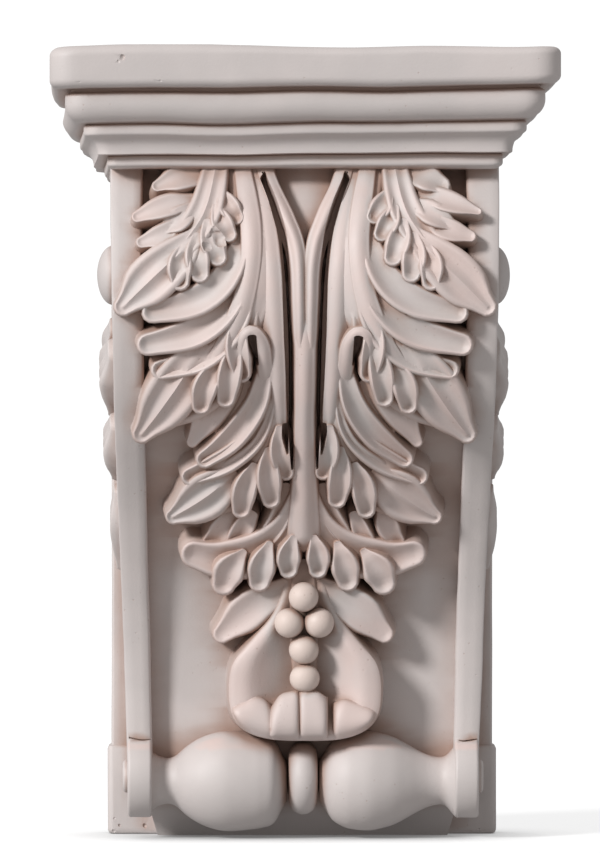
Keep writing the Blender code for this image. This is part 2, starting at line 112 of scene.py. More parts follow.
# %% Curve helpers
def ease(values, t):
    """Smooth value at t, from 0 to 1, through a short list spread evenly."""
    values = np.asarray(values, float)
    place = np.clip(np.asarray(t, float), 0, 1) * (len(values) - 1)
    low = np.minimum(place.astype(int), len(values) - 2)
    part = place - low
    before = values[np.maximum(low - 1, 0)]
    start = values[low]
    end = values[low + 1]
    after = values[np.minimum(low + 2, len(values) - 1)]
    slope_start = (end - before) / 2
    slope_end = (after - start) / 2
    square = part * part
    cube = square * part
    return ((2 * cube - 3 * square + 1) * start + (cube - 2 * square + part) * slope_start
            + (3 * square - 2 * cube) * end + (cube - square) * slope_end)


def even_curve(points, steps):
    """Steps + 1 points, evenly spaced on a smooth curve through the given points."""
    points = np.asarray(points, float)
    fine = np.linspace(0, 1, 40 * len(points))
    route = np.stack([ease(points[:, k], fine) for k in (0, 1)], 1)
    run = np.concatenate([[0], np.cumsum(np.linalg.norm(np.diff(route, axis=0), axis=1))])
    wanted = np.linspace(0, run[-1], steps + 1)
    return np.stack([np.interp(wanted, run, route[:, k]) for k in (0, 1)], 1)


print("midway through (0, 1, 0):", float(ease((0, 1, 0), 0.5)))

# %% [markdown]
# ## The body's curves
#
# Seen from the side the front swells under the cap and draws in towards the foot. Seen from the front the
# body narrows a little on the way down. Each is a function of height, so every leaf and rim can ask where
# the face is.

# %% Body curves
FACE_SHARES = (0.89, 0.965, 1.0, 0.99, 0.93, 0.83, 0.71, 0.605, 0.525, 0.475, 0.452, 0.445, 0.43, 0.41)


def face_depth(up):
    """How far the rims stand out from the wall at a height."""
    return FACE_DEPTH * ease(FACE_SHARES, 1 - np.asarray(up, float) / BODY_HEIGHT)


def face_lean(up):
    """Rise of the face's outward normal for each unit outward."""
    return -(face_depth(up + 1.0) - face_depth(up - 1.0)) / 2.0


def half_width(up):
    down = np.clip(1 - np.asarray(up, float) / BODY_HEIGHT, 0, 1)
    return BODY_HALF_WIDTH - (BODY_HALF_WIDTH - FOOT_HALF_WIDTH) * down ** 1.5


def rim_width(up):
    share = np.clip(np.asarray(up, float) / BODY_HEIGHT, 0, 1)
    return RIM_WIDTH_FOOT + (RIM_WIDTH_TOP - RIM_WIDTH_FOOT) * share


print("face depth at the swell and the foot:", float(face_depth(290)), float(face_depth(40)))

# %% [markdown]
# ## Skinning rings
#
# Nearly every form here is a row of closed rings: sections through a moulding, or lines round a leaf lobe
# from its hollow out over its edge and down its wall. A grid from `create_grid` already has the faces;
# moving its points onto the rings and merging the seam turns it into a closed skin.

# %% Rings to a solid
forms = bpy.data.collections.new("forms to fuse")
cuts = bpy.data.collections.new("forms to cut")
bpy.context.scene.collection.children.link(forms)
bpy.context.scene.collection.children.link(cuts)


def wrap_rings(bm, rings, open_ends):
    rings = np.asarray(rings)
    rows, columns, _ = rings.shape
    grid = bmesh.ops.create_grid(bm, x_segments=columns, y_segments=rows - 1, size=0.5)["verts"]
    for vert in grid:
        column = round((vert.co.x + 0.5) * columns) % columns
        row = round((vert.co.y + 0.5) * (rows - 1))
        vert.co = rings[row, column]
    bmesh.ops.remove_doubles(bm, verts=grid, dist=1e-4)
    if open_ends:
        edges = [edge for edge in bm.edges if edge.is_boundary]
        bmesh.ops.holes_fill(bm, edges=edges, sides=0)


def to_object(bm, name, collection):
    """Turns a form in millimetres from the foot into an object in metres from the middle of the back."""
    bmesh.ops.recalc_face_normals(bm, faces=bm.faces)
    if not all(edge.is_manifold for edge in bm.edges):
        print("open form:", name)
    bmesh.ops.translate(bm, verts=bm.verts, vec=(0, 0, -TOTAL_HEIGHT / 2))
    bmesh.ops.scale(bm, verts=bm.verts, vec=(MILLIMETRE,) * 3)
    mesh = bpy.data.meshes.new(name)
    bm.to_mesh(mesh)
    bm.free()
    obj = bpy.data.objects.new(name, mesh)
    collection.objects.link(obj)
    return obj


def skin(name, rings, collection=forms, open_ends=False):
    """A closed skin over a row of rings. Open ends are rows that still need a cap at each end."""
    bm = bmesh.new()
    wrap_rings(bm, rings, open_ends)
    return to_object(bm, name, collection)


print("one collection to fuse, one to cut away:", forms.name, "/", cuts.name)


# %% [markdown]
# ## Back plate and cap
#
# The cap is a stack of classical mouldings: a fillet, a cove, a band, a quarter-round called an ovolo, a
# groove and a thick slab. One ring per height, each a rectangle with rounded front corners, makes plate,
# foot block and cap in a single skin. Points along each straight side let the edges wander later, as a
# mould's edges do.

# %% One section of plate or cap
CORNER_RADIUS = 5.0
SLAB_CORNER = 12.0


def section_ring(half, back, front, up, corner, along=20, round_steps=6):
    """A rectangle seen from above, with its two front corners rounded."""
    inner, straight = half - corner, front - corner
    bend = [(inner + corner * math.cos(a), straight + corner * math.sin(a))
            for a in np.linspace(0, math.pi / 2, round_steps)]
    points = [(-half, back + (straight - back) * t) for t in np.linspace(0, 1, along)[:-1]]
    points += [(-across, out) for across, out in bend]
    points += [(-inner + 2 * inner * t, front) for t in np.linspace(0, 1, 3 * along)[1:-1]]
    points += reversed(bend)
    points += [(half, straight - (straight - back) * t) for t in np.linspace(0, 1, along)[1:]]
    return [(across, -out, up) for across, out in points]


print("points round a section:", len(section_ring(CAP_HALF_WIDTH, 0, CAP_DEPTH, 0, CORNER_RADIUS)))

# %% Profile of the mouldings
BAND_OUT = 11.7
OVOLO_OUT = 20.7
GROOVE_OUT = 18.0
SLAB_OUT = 28.3


def round_steps(centre_up, centre_out, radius_up, radius_out, start, end, steps):
    """Part of an ellipse in the moulding's profile, as pairs of height and outset."""
    return [(centre_up + radius_up * math.sin(a), centre_out + radius_out * math.cos(a))
            for a in np.linspace(math.radians(start), math.radians(end), steps)]


def cap_profile():
    """Heights and outsets of the mouldings, from the body up."""
    base = BODY_HEIGHT
    levels = [(base, -3.8), (base + 0.8, -2.0)]
    levels += round_steps(base + 3.0, -1.6, 1.8, 1.6, -60, 0, 5)
    levels += [(base + 5.8, 0.0), (base + 6.8, -0.2), (base + 7.2, -0.9)]
    levels += round_steps(base + 7.8, 10.9, 8.4, -6.2, 0, 78, 9)
    levels += round_steps(base + 18.2, BAND_OUT - 1.6, 1.6, 1.6, -75, 0, 5)
    levels += round_steps(base + 20.9, BAND_OUT - 1.4, 1.5, 1.4, 0, 80, 5)
    levels += round_steps(base + 32.4, BAND_OUT + 0.4, 9.2, OVOLO_OUT - BAND_OUT - 0.4, -88, 0, 12)
    levels += round_steps(base + 35.6, OVOLO_OUT - 2.6, 2.5, 2.6, 10, 85, 6)
    levels += [(base + 38.6, GROOVE_OUT), (base + 39.6, GROOVE_OUT)]
    levels += round_steps(base + 44.4, SLAB_OUT - 4.2, 4.2, 4.2, -85, 0, 7)
    levels += [(base + 48.0, SLAB_OUT), (base + 52.0, SLAB_OUT)]
    levels += round_steps(base + CAP_HEIGHT - 5.0, SLAB_OUT - 5.0, 5.0, 5.0, 0, 90, 10)
    return levels


print("steps in the cap's profile:", len(cap_profile()))

# %% Plate, foot block and cap in one skin
FOOT_PROFILE = ((0, 0, 3.0), (0.5, 0.6, 3.0), (1.8, 0.95, 3.0), (3.5, 1, 3.0), (FOOT_HEIGHT - 2.0, 1, 3.0),
                (FOOT_HEIGHT - 0.7, 0.7, 2.0), (FOOT_HEIGHT, 0, 1.5))
rings = [section_ring(PLATE_HALF_WIDTH + FOOT_STEP * share, 0, PLATE_DEPTH + FOOT_STEP * share, up, corner)
         for up, share, corner in FOOT_PROFILE]
rings += [section_ring(PLATE_HALF_WIDTH, 0, PLATE_DEPTH, up, 1.5)
          for up in np.linspace(60, BODY_HEIGHT - 1, 16)]
for up, outset in cap_profile():
    corner = CORNER_RADIUS + (SLAB_CORNER - CORNER_RADIUS) * max(0.0, outset) / SLAB_OUT
    rings.append(section_ring(CAP_HALF_WIDTH + outset, 0, CAP_DEPTH + outset, up, corner))
corbel = skin("plaster_corbel", rings, bpy.context.scene.collection, open_ends=True)
print("plate and cap:", len(corbel.data.polygons), "faces")

# %% [markdown]
# ## Core and rims
#
# Behind the leaves lies a sunk panel, and on each side a flat rim stands out from it. The core is a block
# whose front follows the face curve and tucks in under the rollers. Each rim is a second, narrower block in
# front of it with softened edges. Points all the way back along its side keep the shading near the leaves.

# %% Core and rims
JOIN = 4.0
ROLLER_UP = 29.2
SCROLL_UP = 31.5


def core_rings():
    """Sections of the block behind the leaves. It reaches a little way up into the cap."""
    rings = []
    for up in np.linspace(0, BODY_HEIGHT + JOIN, 110):
        tucked = 22.0 * max(0.0, 1 - up / ROLLER_UP)
        half = half_width(up) - rim_width(up) / 2 - 0.32 * tucked
        depth = face_depth(up) - PANEL_RECESS - tucked
        front = [(x, -depth, up) for x in np.linspace(-half, half, 16)]
        rings.append([(-half, -2, up)] + front + [(half, -2, up)])
    return rings


def rim_rings(side):
    rings = []
    for up in np.linspace(SCROLL_UP, BODY_HEIGHT + JOIN, 130):
        depth = face_depth(up)
        outer = half_width(up)
        inner = outer - rim_width(up)
        section = ((inner, 2), (inner, depth - 2.2), (inner + 0.4, depth - 0.9), (inner + 1.5, depth),
                   (inner + 5, depth + 0.15), (outer - 5, depth + 0.15), (outer - 1.2, depth),
                   (outer - 0.3, depth - 0.5), (outer, depth - 1.6))
        section += tuple((outer, out) for out in np.linspace(depth - 10, 2, 13))
        rings.append([(side * across, -out, up) for across, out in section])
    return rings


skin("core", core_rings(), open_ends=True)
for side in (-1, 1):
    skin("rim", rim_rings(side), open_ends=True)
print("panel sunk by", PANEL_RECESS, "mm")

# %% [markdown]
# ## Rollers, scroll ends and collar
#
# The foot reads as turned work: two bulbs on one axis, each with a slim neck that flares into a flat
# scroll end, and a bead ring between them. Turned forms are profiles carried round an axis, so their rings
# are circles. The two bulbs differ a little, as the mould left them.

# %% Turning a profile
SCROLL_DEPTH = 66.0
SCROLL_RADIUS = 21.0
SCROLL_WIDTH = 12.3
BUTTON_RADIUS = 8.5
ROLLER_RADIUS = 25.4


def turned(profile, up, depth, sides=64):
    angles = np.linspace(0, 2 * math.pi, sides, endpoint=False)
    return [[(across, -(depth + radius * math.cos(a)), up + radius * math.sin(a)) for a in angles]
            for across, radius in profile]


def softened_disc(inner, outer, radius, soft):
    """Profile of a flat disc with rounded edges."""
    bend = [(soft * (1 - math.cos(a)), soft * (1 - math.sin(a))) for a in np.linspace(0, math.pi / 2, 5)]
    start = [(inner + step, radius - drop) for step, drop in bend]
    end = [(outer - step, radius - drop) for step, drop in reversed(bend)]
    return start + end


def scroll_rings(side):
    outer = half_width(SCROLL_UP) + 0.3
    disc = softened_disc(outer - SCROLL_WIDTH, outer, SCROLL_RADIUS, 1.6)
    return turned([(side * across, radius) for across, radius in disc], SCROLL_UP, SCROLL_DEPTH)


def button_rings(side):
    outer = half_width(SCROLL_UP) + 2.8
    disc = softened_disc(outer - 6, outer, BUTTON_RADIUS, 2.0)
    return turned([(side * across, radius) for across, radius in disc], SCROLL_UP, SCROLL_DEPTH, 32)


print("scroll ends", 2 * SCROLL_RADIUS, "mm across")

# %% Rollers, scroll ends and collar
BULB_SHARES = {-1: (0.4, 0.83, 0.94, 0.98, 1.0, 1.0, 0.95, 0.85, 0.69, 0.49, 0.49, 0.62),
               1: (0.42, 0.78, 0.94, 0.99, 1.0, 0.95, 0.87, 0.74, 0.6, 0.5, 0.5, 0.75)}


def roller_rings(side):
    inner, outer = 8.3, half_width(SCROLL_UP) - SCROLL_WIDTH + 2.0
    shares = np.linspace(0, 1, 44)
    bulb = ease(BULB_SHARES[side], shares)
    profile = [(side * (inner + (outer - inner) * t), ROLLER_RADIUS * r) for t, r in zip(shares, bulb)]
    return turned(profile, ROLLER_UP, SCROLL_DEPTH)


for side in (-1, 1):
    skin("scroll end", scroll_rings(side), open_ends=True)
    skin("button", button_rings(side), open_ends=True)
    skin("roller", roller_rings(side), open_ends=True)
BEAD_RADIUS = 18.7
BEAD_ROUND = 7.4
bead = [(-BEAD_ROUND * math.cos(a), BEAD_RADIUS - BEAD_ROUND * (1 - math.sin(a)))
        for a in np.linspace(0, math.pi, 17)]
skin("collar", turned(bead, 30.8, SCROLL_DEPTH), open_ends=True)
print("rollers", 2 * ROLLER_RADIUS, "mm across")

# %% [markdown]
# ## Carving on the face
#
# A leaf is drawn flat, as seen from the front, and laid on the curved face. A point needs a place across and
# up and a height above the rims. The wall under an edge runs into the body along the face's own direction,
# so the outline stays where it was drawn while the wall leans with the face.

# %% Laying a drawing on the face
LEAN_SHARE = 0.75


def on_face(across, up, crest, height):
    """A point of a wall whose top edge stands at crest above the rims. At the crest it shows where drawn."""
    lean = LEAN_SHARE * face_lean(up)
    outward = 1 / np.sqrt(1 + lean ** 2)
    rise = lean * outward
    foot = up - crest * rise
    edge = half_width(up) + np.where(np.asarray(height) > 0, 0.4, -0.8)
    across = np.clip(across, -edge, edge)
    return np.stack([across, -(face_depth(foot) + height * outward), foot + height * rise], -1)


def on_side(side):
    """Places a point on one side of the body: depth from the wall, height, and how far it stands out."""
    def place(depth, up, crest, height):
        return np.stack([side * (half_width(up) + height), -depth, up], -1)
    return place


def mirrored(place, side):
    def laid(across, up, crest, height):
        return place(side * across, up, crest, height)
    return laid


print("a point 10 mm above the rims, halfway up:", np.round(on_face(0.0, BODY_HEIGHT / 2, 10.0, 10.0), 1))


# %% [markdown]
# ## One leaf lobe
#
# An acanthus leaf is a bundle of tongues. Each tongue follows a spine, is hollowed along its middle, has a
# thin rounded edge and a steep wall below it. Rings run round the tongue: the first is its middle line, the
# next ones climb to the edge, and the last ones go down the wall to the root. The hollow is deepest where
# the lobe is widest, and starts a little way from the root. A rib is a low ridge left standing along the
# middle of the hollow.
#
# The outline comes first: up one side of the spine, round the tip, back down the other side and round the
# root. Each of its points keeps its middle, its offset from it, its share of the length and its side.

# %% Outline of a lobe
SPINE_PITCH = 4.5
TIP_PITCH = 1.4
ROOT_ROUND = 0.5


def lobe_outline(points, widths, tip_length, fullness):
    spine = even_curve(points, 60)
    total = np.linalg.norm(np.diff(spine, axis=0), axis=1).sum()
    steps = max(8, round(total / min(SPINE_PITCH, 0.45 * max(widths))))
    widths = np.asarray(widths, float)
    stop = max(0.3, 1 - widths[-1] * tip_length / total)
    share = np.linspace(0, 1, steps + 1)
    fine = np.linspace(0, 1, len(spine))

    def at(t):
        return np.stack([np.interp(t, fine, spine[:, k]) for k in (0, 1)], -1)

    heading = at(np.clip(share * stop + 0.02, 0, 1)) - at(np.clip(share * stop - 0.02, 0, 1))
    heading /= np.linalg.norm(heading, axis=1)[:, None]
    normal = np.stack([-heading[:, 1], heading[:, 0]], 1)
    middle = at(share * stop)
    width = ease(widths, share)
    upper = [(middle[k], normal[k] * width[k], share[k], 1.0) for k in range(steps + 1)]
    lower = [(middle[k], -normal[k] * width[k], share[k], -1.0) for k in reversed(range(steps + 1))]
    tip_steps = max(6, round(math.pi * widths[-1] / TIP_PITCH / 2))
    tip = []
    for angle in np.linspace(math.pi / 2, -math.pi / 2, tip_steps + 1)[1:-1]:
        aside = math.copysign(abs(math.sin(angle)) ** fullness, angle)
        ahead = tip_length * math.cos(angle) ** fullness
        tip.append((middle[-1], widths[-1] * (normal[-1] * aside + heading[-1] * ahead), 1.0, aside))
    root_end = []
    for angle in np.linspace(-math.pi / 2, math.pi / 2, 7)[1:-1]:
        turn = normal[0] * math.sin(angle) - ROOT_ROUND * heading[0] * math.cos(angle)
        root_end.append((middle[0], width[0] * turn, 0.0, math.sin(angle)))
    return [np.array(column) for column in zip(*(upper + tip + lower + root_end))]


# %% Rings of a lobe
FLAT_REACH = 0.76
ACROSS_RINGS = (0.0, 0.15, 0.3, 0.45, 0.6, 0.7, 0.78, 0.85, 0.91, 0.96, 1.0)
WALL_RINGS = (0.06, 0.25, 1.0)
EDGE_RADIUS = 2.3
HOLLOW_ONSET = 2.6


def lobe_rings(points, widths, heights, place, flute, tilt=0.0, ribs=0, root=ROOT_DEPTH, draft=2.6,
               tip_length=1.0, fullness=1.0):
    """Points run from root to tip. Tilt sinks the upper side, so that a lobe slips under the one above it.

    A fullness under 1 makes the rounded tip squarer.
    """
    centres, offsets, shares, sides = lobe_outline(points, widths, tip_length, fullness)
    crest = ease(heights, shares)
    girth = np.clip(ease(widths, shares) / max(widths), 0.25, 1)
    girth = girth * np.clip(shares * HOLLOW_ONSET, 0.1, 1)
    soft = np.minimum(EDGE_RADIUS, 0.35 * ease(widths, shares))

    def level(reach):
        inside = min(reach / FLAT_REACH, 1)
        hollow = math.sin(math.pi * inside) ** 1.3 if ribs else (1 - inside ** 2) ** 1.3
        bend = 0.97 * max(0, (reach - FLAT_REACH) / (1 - FLAT_REACH))
        rounding = soft * (1 - math.sqrt(1 - bend ** 2))
        return crest - flute * girth * hollow - rounding - tilt * girth * sides * reach

    rings = []
    for reach in ACROSS_RINGS:
        flat = centres + offsets * reach
        rings.append(place(flat[:, 0], flat[:, 1], level(reach), level(reach)))
    top = level(1.0)
    outward = offsets / (np.linalg.norm(offsets, axis=1)[:, None] + 1e-9)
    for down in WALL_RINGS:
        flat = centres + offsets + outward * draft * math.sin(down * math.pi / 2)
        rings.append(place(flat[:, 0], flat[:, 1], top, top * (1 - down) - root * down))
    rings.append(place(centres[:, 0], centres[:, 1], crest, np.full(len(crest), -float(root))))
    return rings


print("rings round each lobe:", len(ACROSS_RINGS) + len(WALL_RINGS) + 1)

# %% [markdown]
# ## The leaves
#
# Three leaves overlap like roof slates. The upper one folds outwards from under the cap, the long one sweeps
# down from the middle and turns out, and a lower one leaves the stem. Each lobe below is its spine from root
# to tip, its half widths, its heights above the rims, the depth of its hollow, its tilt and whether it keeps
# a rib. Only the right half is drawn, and the left is its mirror. The fringe and the leaf that hangs
# underneath differ from side to side, so they are drawn twice: side 1 is the right, side -1 the left.
#
# The roots of the top lobes start inside the cap, so no end shows. A drop is a small tongue that hangs from
# a blade: its edge stands above the blade from the root on, which keeps its outline whole.

# %% Upper leaf
DROP = (2.4, 4.8, 6.2, 6.2, 4.9)
SMALL_DROP = (2.2, 4.3, 5.5, 5.5, 4.3)
upper_leaf = (
    (((43, 350), (49, 321), (58, 305), (72, 289)), (6, 7.6, 8.6, 7), (7, 10.6, 11.2, 10), 1.8, 1.2, 1),
    (((52, 308), (62, 297), (76, 284), (94, 266.5)),
     (4, 9, 12, 11.4, 5), (10, 12, 12, 10.4, 8.4), 2.4, 0.6, 1),
    (((60, 301), (62.5, 290), (62, 277.5)), DROP, (10.4, 12.2, 13.8, 14, 12), 3.0, 0, 0),
    (((54, 306), (54, 294), (51.5, 281.5)), DROP, (10.4, 12.2, 13.8, 14, 12), 3.0, 0, 0),
    (((49, 313), (46, 301), (42, 290)), DROP, (10.4, 12.2, 13.8, 14, 12), 3.0, 0, 0),
    (((45, 320), (41, 311), (36, 302.5)), SMALL_DROP, (10.2, 11.8, 13, 13, 10.8), 2.8, 0, 0),
    (((42, 328), (38, 320), (32, 311.5)), SMALL_DROP, (9.6, 11, 12, 12, 9.8), 2.8, 0, 0),
)
upper_fringe = {
    1: (
        (((50, 337), (60, 335), (72, 328.5)), (4, 6.5, 7, 5), (6, 9, 10, 8), 2.2, 1.4, 0),
        (((58, 327), (70, 323), (88, 317)), (4, 6, 5, 2), (7, 10, 10, 8), 1.8, 1.2, 0),
        (((54, 321), (64, 316), (76, 308.5)), (4, 6.5, 6, 3), (8, 11, 11, 8), 2.0, 1.2, 0),
        (((60, 313), (72, 308), (85, 304)), (4, 6, 5.5, 3), (8, 10, 10, 8), 1.8, 1.2, 0),
    ),
    -1: (
        (((48, 336), (62, 335), (76, 329)), (4, 6.5, 6.5, 3), (6, 9, 10, 8), 2.2, 1.4, 0),
        (((56, 323), (70, 320), (86, 313.5)), (4, 6, 5.5, 3), (7, 10, 10, 8), 1.8, 1.2, 0),
        (((56, 319), (64, 313), (73, 307)), (4, 6, 6, 3), (8, 11, 11, 8), 2.0, 1.2, 0),
        (((58, 312), (70, 306), (84, 301)), (4, 6, 5.5, 3), (8, 10, 10, 8), 1.8, 1.2, 0),
    ),
}

# %% Long leaf
long_leaf = (
    (((31, 350), (25, 300), (32, 262), (46, 236)), (11, 10.5, 12, 8), (5, 6.5, 7, 6), -2.2, 0, 0),
    (((33, 350), (27, 306), (30, 276), (40, 250), (56, 228)),
     (4, 5.5, 5.5, 6, 5), (7, 9, 9.6, 9.6, 8), -1.4, 0, 0),
    (((29, 314), (38, 288), (54, 273), (81.5, 266)), (2.5, 6, 8, 8, 5.6), (5, 9.4, 11, 11, 9.4), 3.4, 1.8, 0),
    (((27, 302), (36, 275), (54, 258), (84, 250)), (2.5, 6, 8, 8.2, 5.8), (5, 9, 10.5, 10.5, 9), 3.4, 1.8, 0),
    (((26, 290), (35, 263), (52, 245), (77, 237.5)),
     (2.5, 6, 8, 7.6, 5.2), (5, 8.6, 10, 10, 8.6), 3.2, 1.8, 0),
    (((25, 282), (34, 253), (50, 233), (66, 221), (82, 208)),
     (3, 7, 11, 14, 13, 7), (5, 8, 9, 8, 5, 2), 2.6, 0.8, 1),
    (((52, 250), (62, 233), (73, 217), (84.5, 202.5)),
     (7, 11.5, 13, 11, 5), (8, 9.6, 9.8, 9, 7.4), 2.4, 0.8, 1),
    (((43, 243), (50, 230), (52.5, 216)), DROP, (8.8, 11, 13, 13.4, 11.4), 3.0, 0, 0),
    (((34, 253), (38, 236), (40.5, 219.5)), DROP, (8.8, 11, 13, 13.4, 11.4), 3.0, 0, 0),
    (((34, 265), (34, 250), (31, 232)), DROP, (8.6, 10.8, 12.8, 13, 10.8), 3.0, 0, 0),
    (((34, 240), (47, 218), (58, 200)), (6, 9, 8, 3), (3, 5, 5, 3), 1.6, 0, 0),
    (((30, 232), (38, 218), (44, 206)), (5, 7, 6, 3), (2, 4, 4, 3), 1.4, 0, 0),
)

# %% Lower leaves
lower_leaf = (
    (((26, 350), (19, 300), (16, 262), (14.5, 232), (13, 208), (12, 188)),
     (4.4, 6.2, 6.4, 6.0, 5.0, 3.4), (5, 6.4, 6.6, 6, 5.4, 5), -1.8, 0.8, 0),
    (((17, 262), (17, 225), (24, 200), (40, 182)), (4, 7, 9, 6), (3, 4, 5, 4), -1.0, 0, 0),
    (((19, 247), (24, 223), (36, 205), (54, 191)),
     (2.4, 5, 6.5, 6.8, 4.8), (3, 6.4, 8.5, 8.5, 7), 3.0, 1.6, 0),
    (((17, 234), (23, 209), (38, 194), (62, 183)), (2.4, 5, 6.5, 6.8, 4.8), (3, 6.2, 8, 8, 6.6), 3.0, 1.6, 0),
    (((14, 224), (20, 199), (34, 183), (50, 173), (65, 166)),
     (3, 6, 9.5, 12, 11, 6), (4, 7, 7.5, 6.5, 4, 1), 2.4, 0.6, 1),
    (((36, 186), (47, 176.5), (58, 169), (69.5, 162.5)),
     (6, 10.5, 12, 9.6, 4.2), (6, 8, 8.2, 7.4, 6), 2.4, 0.6, 1),
    (((25, 191), (30, 178), (32, 163.5)), DROP, (7.8, 9.8, 11.6, 12, 10), 2.9, 0, 0),
    (((18, 199), (18, 184), (16, 168.5)), DROP, (7.8, 9.8, 11.6, 12, 10), 2.9, 0, 0),
    (((12.5, 210), (12, 196), (8, 183)), SMALL_DROP, (7.6, 9.6, 11.2, 11.4, 9.4), 2.7, 0, 0),
)
eye_rims = (
    (((18.4, 226), (20.2, 240), (21.6, 251), (26.4, 257), (31, 253.4), (31.6, 244)), (3, 4, 4, 3.6, 3.4, 2.8),
     (1, 5.4, 8.4, 10.4, 11.6, 10), -1.2, 0, 0),
)
under_leaf = {
    1: (
        (((40.5, 167), (43.5, 157), (50, 149)), (4, 6, 6, 4.4), (2, 4.6, 5, 4), 1.8, 0, 0),
        (((25.4, 166), (30, 155), (37, 145.5)), (3, 4.4, 4.6, 3.4), (3, 5.4, 6, 5), 1.8, 0, 0),
        (((9, 180), (13, 166), (19.5, 155.5), (26.5, 147)), (3.6, 5.2, 5.4, 4), (3, 5.4, 6, 5), 2.2, 0, 0),
    ),
    -1: (
        (((36, 166), (43, 156), (50, 149)), (4, 6, 6, 4.4), (2, 4, 4.4, 3), 1.8, 0, 0),
        (((26.4, 166), (32, 155.5), (39, 145)), (4, 5.8, 6, 4.6), (3, 5.2, 5.6, 4.6), 2.0, 0, 0),
        (((8.5, 180), (12.5, 163), (19.5, 152), (27.5, 145)),
         (3.6, 5.4, 5.8, 4.4), (3, 5.6, 6.2, 5.4), 2.4, 0, 0),
    ),
}
end_leaf = (
    (((1.5, 182), (7, 160), (21, 146.5), (41, 142.5), (62, 147.5)),
     (4, 8, 10.5, 10.5, 7), (5, 7, 8, 7.8, 6.4), 3.0, 0.8, 0),
    (((30, 147), (37.5, 137), (42.5, 124.5)), (2, 4.8, 7.4, 8.2, 6.4), (6.8, 9.6, 11, 11.2, 9.4), 2.6, 0, 0),
    (((17, 151), (21, 139), (23, 125.8)), (2, 4.4, 6.6, 7.2, 5.8), (7, 9.8, 11.2, 11.4, 9.4), 2.7, 0, 0),
    (((5, 154), (7.5, 144), (7, 132.5)), (2, 4, 5.8, 6.2, 5), (8.4, 10.2, 11.4, 11.6, 9.6), 3.0, 0, 0),
    (((8, 128), (24, 119), (45, 101.5)), (6, 9, 9.8, 5), (4, 7, 8, 6), 2.0, 0.8, 0),
)
stem = (
    (((23, 350), (17.8, 332), (9.6, 314), (4, 297), (2.7, 270), (2.6, 236)),
     (4.4, 4.4, 4.4, 4, 3.4, 2), (6, 7.6, 8.6, 9, 8.4, 6), -2.6, 0, 0),
)

# %% Lay every leaf on both halves
for side in (-1, 1):
    lobes = (upper_leaf + upper_fringe[side] + long_leaf + lower_leaf + eye_rims + under_leaf[side]
             + end_leaf + stem)
    for points, widths, heights, flute, tilt, ribs in lobes:
        skin("lobe", lobe_rings(points, widths, heights, mirrored(on_face, side), flute, tilt, ribs))
    print("lobes on side", side, "of the face:", len(lobes))

# %% [markdown]
# ## Stem and berries
#
# The middle stem is a lobe with a negative hollow, which leaves it standing as a round bar. A second such
# lobe fills the fork under the cap. The berries are balls that sit partly in each other and in a low bed,
# so plain spheres do.

# %% Stem and strip
centre_forms = (
    (((0, 296), (0, 266), (0, 236), (0, 190), (0, 166), (0, 146)),
     (2, 5, 5.2, 5, 6.6, 8.6), (5, 7.4, 8.2, 8, 8, 7), -2.8),
    (((0, 350), (0, 330), (0, 311), (0, 292)), (24, 14, 7, 2), (-3, -3, -2, 0), -2.4),
)
for points, widths, heights, flute in centre_forms:
    skin("stem", lobe_rings(points, widths, heights, on_face, flute))
print("middle stem", 2 * centre_forms[0][1][2], "mm wide")

# %% Berries
BERRY_RADIUS = 7.5
BERRIES = ((0.2, 123.5, 12.5), (-7, 110.4, 13.5), (8, 110.4, 13.5), (0.3, 97, 14), (0.8, 82.5, 14))
bed = (((0.2, 140), (0.2, 124), (0.4, 104), (0.8, 80)), (6, 7, 8, 6), (3, 7, 7, 7))
skin("bed", lobe_rings(*bed, on_face, -1.0))


def proud_point(across, up, height):
    """One point that stands a height above the rims."""
    return on_face(np.array(across), np.array(up), np.array(height), np.array(height))


berry_centres = [proud_point(*berry) for berry in BERRIES]
for centre in berry_centres:
    bm = bmesh.new()
    bmesh.ops.create_icosphere(bm, subdivisions=4, radius=BERRY_RADIUS,
                                matrix=Matrix.Translation(Vector(centre)))
    to_object(bm, "berry", forms)
print(len(BERRIES), "berries", 2 * BERRY_RADIUS, "mm across")

# %% [markdown]
# ## The shell
#
# Below the berries hangs an open shell. Its bowl is one wide lobe with a squarish tip and a deep hollow.
# Along its lower edge four tongues roll forward. A tongue is a row of sections from left to right: each
# starts in the body, comes out at the bowl's edge, goes over the roll and back into the body.

# %% Bowl of the shell
BOWL_MIDDLE = 0.7
BOWL_HALF_WIDTH = 38.6
BOWL_FOOT = 50.5
BOWL_TIP = 0.74
BOWL_FULLNESS = 0.64
bowl_spine = [(BOWL_MIDDLE, up) for up in (136, 108, 80, BOWL_FOOT)]
bowl_widths = (11, 12, 17, 26.5, 36, BOWL_HALF_WIDTH)
bowl_heights = (3, 6, 10, 14, 16, 16)
skin("shell", lobe_rings(bowl_spine, bowl_widths, bowl_heights, on_face, 12.5,
                         tip_length=BOWL_TIP, fullness=BOWL_FULLNESS))


def lower_edge(across):
    """Height of the bowl's lower outline at a place across."""
    reach = np.clip(np.abs(across - BOWL_MIDDLE) / BOWL_HALF_WIDTH, 0, 0.995)
    power = 2 / BOWL_FULLNESS
    return BOWL_FOOT + BOWL_HALF_WIDTH * BOWL_TIP * (1 - (1 - reach ** power) ** (1 / power))


print("shell", 2 * BOWL_HALF_WIDTH, "mm wide")

# %% Lip of four tongues
LIP_ROLL = 8.0
LIP_FOOT = 15.0
LIP_CORNER = 5.0
lip = ((-36, -14, (68.5, 71, 73, 71.6, 67), 20.0), (-17, -1.5, (67, 73.5, 75.5, 76.4), 23.0),
       (-2.5, 12.4, (76.6, 76.4, 75.5, 72.5), 22.4), (14.6, 36, (69.5, 71.8, 71, 69.4, 67.5), 20.0))


